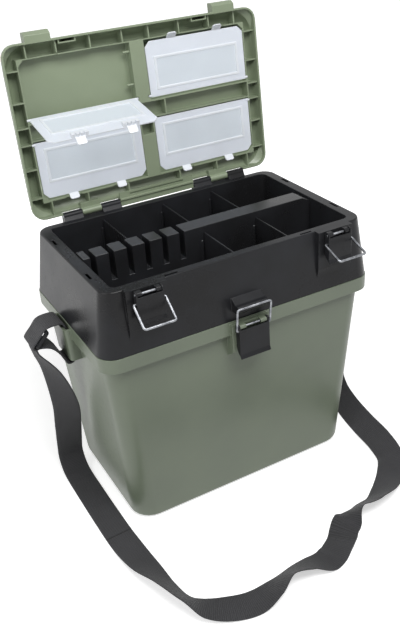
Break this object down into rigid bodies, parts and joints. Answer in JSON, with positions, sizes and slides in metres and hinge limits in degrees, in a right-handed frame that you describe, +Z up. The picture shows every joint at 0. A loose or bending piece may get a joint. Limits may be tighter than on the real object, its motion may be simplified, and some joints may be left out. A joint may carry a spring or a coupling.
{
  "type": "fishing seat box",
  "caption": "Tapered tackle box with a hinged tray section, ribbed seat lid with clip-in pocket covers, wire-bail latches and a shoulder strap.",
  "frame": {"origin": "on the floor under the centre of the box", "axes": "+X to the box's right seen from the front, -Y towards the front latches, +Z up"},
  "size_m": [0.4804, 0.4578, 0.5809],
  "materials": {
    "green_plastic": "fine moulded grain",
    "black_plastic": "satin gloss",
    "milky_plastic": "translucent",
    "steel": "bright",
    "webbing": "woven ribbed tape"
  },
  "bodies": {
    "bin": {"lower_bin": "green_plastic", "left_tray_hinge_pin": "steel", "right_tray_hinge_pin": "steel", "centre_latch_pin": "steel", "shoulder_strap": "webbing", "left_strap_loop": "webbing", "right_strap_loop": "webbing", "left_strap_slider": "black_plastic", "right_strap_slider": "black_plastic"},
    "tray": {"upper_tray": "black_plastic", "rod_rack": "black_plastic", "rear_divider_1": "black_plastic", "rear_divider_2": "black_plastic", "rear_divider_3": "black_plastic", "front_divider_1": "black_plastic", "front_divider_2": "black_plastic", "left_lid_hinge_pin": "steel", "right_lid_hinge_pin": "steel", "left_latch_pin": "steel", "right_latch_pin": "steel"},
    "lid": {"lid": "green_plastic"},
    "upper_left_cover": {"upper_left_pocket_cover": "milky_plastic"},
    "upper_right_cover": {"upper_right_pocket_cover": "milky_plastic"},
    "lower_left_cover": {"lower_left_pocket_cover": "milky_plastic"},
    "lower_right_cover": {"lower_right_pocket_cover": "milky_plastic"},
    "left_lever": {"left_latch_lever": "black_plastic"},
    "left_bail": {"left_latch_bail": "steel"},
    "right_lever": {"right_latch_lever": "black_plastic"},
    "right_bail": {"right_latch_bail": "steel"},
    "centre_lever": {"centre_latch_lever": "black_plastic"},
    "centre_bail": {"centre_latch_bail": "steel"}
  },
  "joints": [
    {"name": "tray_hinge", "type": "hinge", "parent": "bin", "child": "tray", "pos_m": [0, 0.1225, 0.2665], "axis": [-1, 0, 0], "range_deg": [0, 95]},
    {"name": "lid_hinge", "type": "hinge", "parent": "tray", "child": "lid", "pos_m": [0, 0.114, 0.3523], "axis": [-1, 0, 0], "range_deg": [-96.3, 0]},
    {"name": "upper_left_cover_hinge", "type": "hinge", "parent": "lid", "child": "upper_left_cover", "pos_m": [-0.084, 0.1285, 0.47998], "axis": [1, 0, 0], "range_deg": [-107, 0]},
    {"name": "upper_right_cover_hinge", "type": "hinge", "parent": "lid", "child": "upper_right_cover", "pos_m": [0.084, 0.1285, 0.47998], "axis": [1, 0, 0], "range_deg": [0, 107]},
    {"name": "lower_left_cover_hinge", "type": "hinge", "parent": "lid", "child": "lower_left_cover", "pos_m": [-0.084, 0.1251, 0.44917], "axis": [-1, 0, 0], "range_deg": [0, 90]},
    {"name": "lower_right_cover_hinge", "type": "hinge", "parent": "lid", "child": "lower_right_cover", "pos_m": [0.084, 0.1251, 0.44917], "axis": [-1, 0, 0], "range_deg": [0, 90]},
    {"name": "left_lever_pivot", "type": "hinge", "parent": "tray", "child": "left_lever", "pos_m": [-0.1285, -0.1213, 0.3435], "axis": [-1, 0, 0], "range_deg": [0, 110]},
    {"name": "left_bail_pivot", "type": "hinge", "parent": "left_lever", "child": "left_bail", "pos_m": [-0.1285, -0.122, 0.3325], "axis": [1, 0, 0], "range_deg": [-142, 44]},
    {"name": "right_lever_pivot", "type": "hinge", "parent": "tray", "child": "right_lever", "pos_m": [0.1285, -0.1213, 0.3435], "axis": [-1, 0, 0], "range_deg": [0, 110]},
    {"name": "right_bail_pivot", "type": "hinge", "parent": "right_lever", "child": "right_bail", "pos_m": [0.1285, -0.122, 0.3325], "axis": [1, 0, 0], "range_deg": [-123.9, 62]},
    {"name": "centre_lever_pivot", "type": "hinge", "parent": "bin", "child": "centre_lever", "pos_m": [0, -0.126, 0.262], "axis": [-1, 0, 0], "range_deg": [0, 110]},
    {"name": "centre_bail_pivot", "type": "hinge", "parent": "centre_lever", "child": "centre_bail", "pos_m": [0, -0.128, 0.2583], "axis": [1, 0, 0], "range_deg": [0, 153]}
  ],
  "couplings": [
    {"joint": "upper_left_cover_hinge", "follows": "lid_hinge", "ratio": 1.111},
    {"joint": "centre_bail_pivot", "follows": "centre_lever_pivot", "ratio": 1.39}
  ]
}
